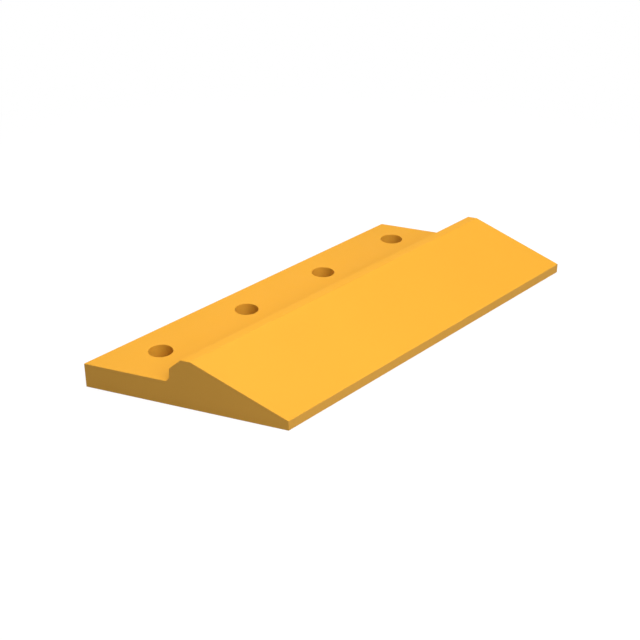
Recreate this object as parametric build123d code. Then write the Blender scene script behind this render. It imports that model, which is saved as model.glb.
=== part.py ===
from build123d import *
from math import radians, tan
import os

# A side cutter for an excavator bucket: one bar of steel, lying on its mounting face.
# X runs along the bolting edge, Y points back to that edge, Z is up.
# The origin is on the mounting face, in the middle of the row of bolt holes.

# Overall sizes, in millimetres and degrees
cutter_width = 193.0  # from the back edge to the cutting edge
ridge_height = 50.8  # from the mounting face to the top of the ridge
end_rake = 21.5  # slant of both ends, away from square to the back edge

# Bolting flange
flange_thickness = 25.4
flange_width = 82.5  # from the back edge to the foot of the shoulder

# Shoulder, ridge and cutting edge
shoulder_draft = 5.0  # lean of the shoulder wall, away from upright
shoulder_foot_radius = 5.0
shoulder_chamfer = 11.4
ridge_flat = 9.2
nose_thickness = 10.2

# Row of bolt holes, which sets the cutter's length
hole_diameter = 24.0
hole_count = 4
hole_pitch = 114.3
hole_inset = 34.9  # from the back edge to the row
first_hole_margin = 50.8  # from the slanted end to the first hole, along the row
last_hole_margin = 38.1  # from the last hole to the other slanted end, along the row
hole_row_length = (hole_count - 1) * hole_pitch
cutter_length = first_hole_margin + hole_row_length + last_hole_margin

# Outer edges and hole mouths, rounded just enough to take the burr off
edge_break = 0.5
hole_edge_break = 0.3


def cross_section():
    """The bar's outline, square to its length, with the foot of the shoulder rounded."""
    back_y = hole_inset
    nose_y = back_y - cutter_width
    foot_y = back_y - flange_width
    wall_top_z = ridge_height - shoulder_chamfer
    wall_top_y = foot_y - (wall_top_z - flange_thickness) * tan(radians(shoulder_draft))
    ridge_back_y = wall_top_y - shoulder_chamfer
    ridge_front_y = ridge_back_y - ridge_flat
    outline = Polyline(
        (back_y, 0),
        (back_y, flange_thickness),
        (foot_y, flange_thickness),
        (wall_top_y, wall_top_z),
        (ridge_back_y, ridge_height),
        (ridge_front_y, ridge_height),
        (nose_y, nose_thickness),
        (nose_y, 0),
        close=True,
    )
    section = make_face(outline)
    foot = section.vertices().sort_by_distance((foot_y, flange_thickness))[0]
    return Plane.YZ * fillet(foot, shoulder_foot_radius)


def plan_outline():
    """The parallelogram that the bar is cut to, seen from above."""
    back_y = hole_inset
    nose_y = back_y - cutter_width
    near_end_x = -hole_row_length / 2 - first_hole_margin
    slant = tan(radians(end_rake))
    near_back = (near_end_x - back_y * slant, back_y)
    near_nose = (near_end_x - nose_y * slant, nose_y)
    far_back = (near_back[0] + cutter_length, back_y)
    far_nose = (near_nose[0] + cutter_length, nose_y)
    return make_face(Polyline(near_back, far_back, far_nose, near_nose, close=True))


def side_cutter():
    """The bar cut to length at a slant, with its edges broken and its holes drilled."""
    bar = extrude(cross_section(), cutter_length + cutter_width, both=True)
    blank = bar & extrude(plan_outline(), ridge_height)

    # The two lines where the rounded foot runs out are already smooth
    foot = Vector(0, hole_inset - flange_width, flange_thickness)
    smooth_lines = blank.edges().filter_by(Axis.X).sort_by_distance(foot)[:2]
    body = fillet(blank.edges() - smooth_lines, edge_break)

    hole = Cylinder(hole_diameter / 2, flange_thickness, align=(Align.CENTER, Align.CENTER, Align.MIN))
    body -= GridLocations(hole_pitch, 0, hole_count, 1) * hole
    mouths = body.edges().filter_by(GeomType.CIRCLE).filter_by(lambda edge: edge.is_closed)
    return chamfer(mouths, hole_edge_break)


os.makedirs("parts", exist_ok=True)
export_step(side_cutter(), "parts/side_cutter.step")
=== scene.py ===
import math

import bmesh
import bpy
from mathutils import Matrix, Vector

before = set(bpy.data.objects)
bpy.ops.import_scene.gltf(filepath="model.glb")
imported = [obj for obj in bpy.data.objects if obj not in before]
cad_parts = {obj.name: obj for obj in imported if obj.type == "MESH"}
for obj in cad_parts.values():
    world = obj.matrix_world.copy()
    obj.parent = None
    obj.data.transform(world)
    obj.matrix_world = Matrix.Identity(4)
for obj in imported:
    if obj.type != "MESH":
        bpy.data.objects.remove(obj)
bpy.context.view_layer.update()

# The solid, before anything else is in the scene
side_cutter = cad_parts["side_cutter"]

# Camera, in metres and degrees
CAMERA_PLACE = (-0.8182, -0.8034, 0.6178)
CAMERA_LOOKS_DOWN = 28.72
CAMERA_TURNED_TO_X = 47.30
LENS_MM = 69.62
SENSOR_MM = 36.0

# Enamel, as linear light: on the rolled faces; on the cut edges paler and bluer, a painted sheen; and darker in
# the bolt holes, painted shade
ROLLED_ENAMEL = (0.965, 0.4585, 0.043)
EDGE_ENAMEL_WITH_PAINTED_SHEEN = (0.955, 0.495, 0.083)
BORE_ENAMEL_PAINTED_SHADE = (0.88, 0.455, 0.047)
ENAMEL_SHEEN = 0.12

# Bolt holes, in metres
HOLE_PITCH = 0.1143
HOLE_RADIUS = 0.012
ROOT_Y = 0.034
NOSE_Y = -0.157

# Studio, in metres and watts
LAMP_AIM = (0, -0.05, 0)
FRONT_LAMP = {"place": (-0.25, -1.12, 1.19), "size": 1.6, "watts": 23.2}
TOP_LAMP = {"place": (0.05, 0.23, 1.45), "size": 0.8, "watts": 10.8}
ROOM_LIGHT = 0.085
CEILING_SEEN = 0.15
BACKDROP_TOP = (0.2, 0.5)
FLOOR_GREY = 0.22
FLOOR_SHADE = 0.2
FLOOR_WHITE = 0.87
FLOOR_HALF_WIDTH = 30.0
FLOOR_SHADOW_REACH = (0.4, 0.75)


def new_material(name):
    """An empty node material, as its node tree, a way to add nodes and a way to link them."""
    material = bpy.data.materials.new(name)
    material.use_nodes = True
    tree = material.node_tree
    tree.nodes.clear()
    return material, tree.nodes, tree.links


def noise(nodes, links, place, scale, detail, roughness=0.5):
    """Noise of so many waves a metre, read at a place on the object."""
    texture = nodes.new("ShaderNodeTexNoise")
    texture.inputs["Scale"].default_value = scale
    texture.inputs["Detail"].default_value = detail
    texture.inputs["Roughness"].default_value = roughness
    links.new(place, texture.inputs["Vector"])
    return texture.outputs["Fac"]


def spread(nodes, links, value, low, high, from_low=0.3, from_high=0.7):
    """A noise value stretched to run from low to high."""
    stretch = nodes.new("ShaderNodeMapRange")
    stretch.inputs["From Min"].default_value = from_low
    stretch.inputs["From Max"].default_value = from_high
    stretch.inputs["To Min"].default_value = low
    stretch.inputs["To Max"].default_value = high
    links.new(value, stretch.inputs["Value"])
    return stretch.outputs["Result"]


def bump(nodes, links, height, depth, under=None):
    """A bump of so many metres, on top of the one under it."""
    node = nodes.new("ShaderNodeBump")
    node.inputs["Strength"].default_value = 1.0
    node.inputs["Distance"].default_value = depth
    links.new(height, node.inputs["Height"])
    if under:
        links.new(under, node.inputs["Normal"])
    return node.outputs["Normal"]


def tinted(nodes, links, amount, colour, darker):
    """A colour that goes a little darker where the amount is 1."""
    tint = nodes.new("ShaderNodeMix")
    tint.data_type = "RGBA"
    tint.inputs["A"].default_value = (*colour, 1)
    tint.inputs["B"].default_value = (*(part * darker for part in colour), 1)
    links.new(amount, tint.inputs["Factor"])
    return tint.outputs["Result"]


def enamel(name, colour, gloss, marks, mark_scale, mark_depth):
    """Satin enamel over steel. Marks holds how far the tool marks under it are stretched each way."""
    material, nodes, links = new_material(name)
    place = nodes.new("ShaderNodeTexCoord").outputs["Object"]
    shader = nodes.new("ShaderNodeBsdfPrincipled")
    shader.inputs["Specular IOR Level"].default_value = ENAMEL_SHEEN
    output = nodes.new("ShaderNodeOutputMaterial")
    links.new(shader.outputs["BSDF"], output.inputs["Surface"])

    # The coat lies a little thicker here and there, and shines unevenly
    clouds = spread(nodes, links, noise(nodes, links, place, 9, 3), 0, 1)
    links.new(tinted(nodes, links, clouds, colour, 0.97), shader.inputs["Base Color"])
    shine = spread(nodes, links, noise(nodes, links, place, 40, 4), *gloss)
    links.new(shine, shader.inputs["Roughness"])

    # The marks of the mill, saw or drill show faintly through the orange peel of the spray
    stretch = nodes.new("ShaderNodeMapping")
    stretch.inputs["Scale"].default_value = marks
    links.new(place, stretch.inputs["Vector"])
    steel = bump(nodes, links, noise(nodes, links, stretch.outputs["Vector"], mark_scale, 1), mark_depth)
    peel = bump(nodes, links, noise(nodes, links, place, 600, 2), 0.00008, steel)
    links.new(peel, shader.inputs["Normal"])
    return material


def dress_side_cutter():
    """One coat of enamel, in one colour on the rolled faces, with a painted sheen on the cut faces and painted
    shade in the bolt holes.
    """
    mesh = side_cutter.data
    mesh.materials.clear()
    mesh.materials.append(enamel("enamel_on_rolled_faces", ROLLED_ENAMEL, (0.46, 0.56), (1, 1, 1), 22, 0.0004))
    # Paler, bluer colour on the cut faces: a painted sheen, the white surroundings' reflection put into the colour
    mesh.materials.append(enamel("enamel_with_painted_sheen_on_cut_edges", EDGE_ENAMEL_WITH_PAINTED_SHEEN, (0.52, 0.64), (1, 1, 0.06), 800, 0.00005))
    # Darker colour in the bolt holes: painted shade of the recess
    mesh.materials.append(enamel("enamel_with_painted_shade_in_bolt_holes", BORE_ENAMEL_PAINTED_SHADE, (0.5, 0.62), (0.06, 0.06, 1), 1200, 0.00005))
    for face in mesh.polygons:
        along_row = min(max(round(face.center.x / HOLE_PITCH - 0.5), -2), 1) * HOLE_PITCH + HOLE_PITCH / 2
        from_bolt = math.hypot(face.center.x - along_row, face.center.y)
        if abs(face.normal.z) > 0.5:
            face.material_index = 0
        elif from_bolt < 1.05 * HOLE_RADIUS:
            face.material_index = 2
        elif face.center.y > ROOT_Y or abs(face.normal.x) > 0.5 or face.center.y < NOSE_Y:
            face.material_index = 1


def seen_directly(nodes, links):
    """1 for what the camera, a reflection or glass sees, and 0 for light that falls on things."""
    rays = nodes.new("ShaderNodeLightPath")
    value = rays.outputs["Is Camera Ray"]
    for other in ("Is Glossy Ray", "Is Transmission Ray"):
        larger = nodes.new("ShaderNodeMath")
        larger.operation = "MAXIMUM"
        links.new(value, larger.inputs[0])
        links.new(rays.outputs[other], larger.inputs[1])
        value = larger.outputs["Value"]
    return value


def pale_floor():
    """White where it is seen, with the object's soft shadow, and a light grey where it throws light back."""
    material, nodes, links = new_material("pale_floor")
    grey = nodes.new("ShaderNodeBsdfDiffuse")
    grey.inputs["Color"].default_value = (FLOOR_GREY, FLOOR_GREY, FLOOR_GREY, 1)
    shaded = nodes.new("ShaderNodeBsdfDiffuse")
    shaded.inputs["Color"].default_value = (FLOOR_SHADE, FLOOR_SHADE, FLOOR_SHADE, 1)
    white = nodes.new("ShaderNodeEmission")
    white.inputs["Strength"].default_value = FLOOR_WHITE
    near = nodes.new("ShaderNodeAddShader")
    links.new(shaded.outputs["BSDF"], near.inputs[0])
    links.new(white.outputs["Emission"], near.inputs[1])

    # Further out than any shadow the floor is plain white
    far = nodes.new("ShaderNodeEmission")
    place = nodes.new("ShaderNodeTexCoord").outputs["Object"]
    distance = nodes.new("ShaderNodeVectorMath")
    distance.operation = "LENGTH"
    links.new(place, distance.inputs[0])
    outward = spread(nodes, links, distance.outputs["Value"], 0, 1, *FLOOR_SHADOW_REACH)
    seen = nodes.new("ShaderNodeMixShader")
    links.new(outward, seen.inputs["Fac"])
    links.new(near.outputs["Shader"], seen.inputs[1])
    links.new(far.outputs["Emission"], seen.inputs[2])

    floor = nodes.new("ShaderNodeMixShader")
    links.new(seen_directly(nodes, links), floor.inputs["Fac"])
    links.new(grey.outputs["BSDF"], floor.inputs[1])
    links.new(seen.outputs["Shader"], floor.inputs[2])
    output = nodes.new("ShaderNodeOutputMaterial")
    links.new(floor.outputs["Shader"], output.inputs["Surface"])
    return material


def add_floor():
    mesh = bpy.data.meshes.new("studio_floor")
    shape = bmesh.new()
    bmesh.ops.create_grid(shape, x_segments=1, y_segments=1, size=FLOOR_HALF_WIDTH)
    shape.to_mesh(mesh)
    shape.free()
    floor = bpy.data.objects.new("studio_floor", mesh)
    bpy.context.scene.collection.objects.link(floor)
    mesh.materials.append(pale_floor())


def add_room():
    """A low white backdrop under a dim ceiling where they are seen, and a low even light from all round."""
    world = bpy.data.worlds.new("studio_room")
    world.use_nodes = True
    nodes, links = world.node_tree.nodes, world.node_tree.links
    direction = nodes.new("ShaderNodeTexCoord").outputs["Generated"]
    height = nodes.new("ShaderNodeSeparateXYZ")
    links.new(direction, height.inputs["Vector"])
    look = spread(nodes, links, height.outputs["Z"], 1, CEILING_SEEN, *BACKDROP_TOP)
    level = nodes.new("ShaderNodeMix")
    level.inputs["A"].default_value = ROOM_LIGHT
    links.new(seen_directly(nodes, links), level.inputs["Factor"])
    links.new(look, level.inputs["B"])
    links.new(level.outputs["Result"], nodes["Background"].inputs["Strength"])
    nodes["Background"].inputs["Color"].default_value = (1, 1, 1, 1)
    bpy.context.scene.world = world


def add_softbox(name, place, size, watts):
    """A square lamp turned to face the object."""
    lamp = bpy.data.lights.new(name, "AREA")
    lamp.shape = "SQUARE"
    lamp.size = size
    lamp.energy = watts
    softbox = bpy.data.objects.new(name, lamp)
    softbox.location = place
    softbox.rotation_euler = (Vector(LAMP_AIM) - Vector(place)).to_track_quat("-Z", "Y").to_euler()
    bpy.context.scene.collection.objects.link(softbox)


def add_camera():
    """The photograph's view, from above the corner between the near end and the cutting edge."""
    lens = bpy.data.cameras.new("photo_camera")
    lens.lens = LENS_MM
    lens.sensor_width = SENSOR_MM
    camera = bpy.data.objects.new("photo_camera", lens)
    camera.location = CAMERA_PLACE
    camera.rotation_euler = (math.radians(90 - CAMERA_LOOKS_DOWN), 0, -math.radians(CAMERA_TURNED_TO_X))
    bpy.context.scene.collection.objects.link(camera)
    bpy.context.scene.camera = camera


dress_side_cutter()
add_floor()
add_room()
add_softbox("front_softbox", **FRONT_LAMP)
add_softbox("top_softbox", **TOP_LAMP)
add_camera()
bpy.context.scene.view_settings.view_transform = "Standard"
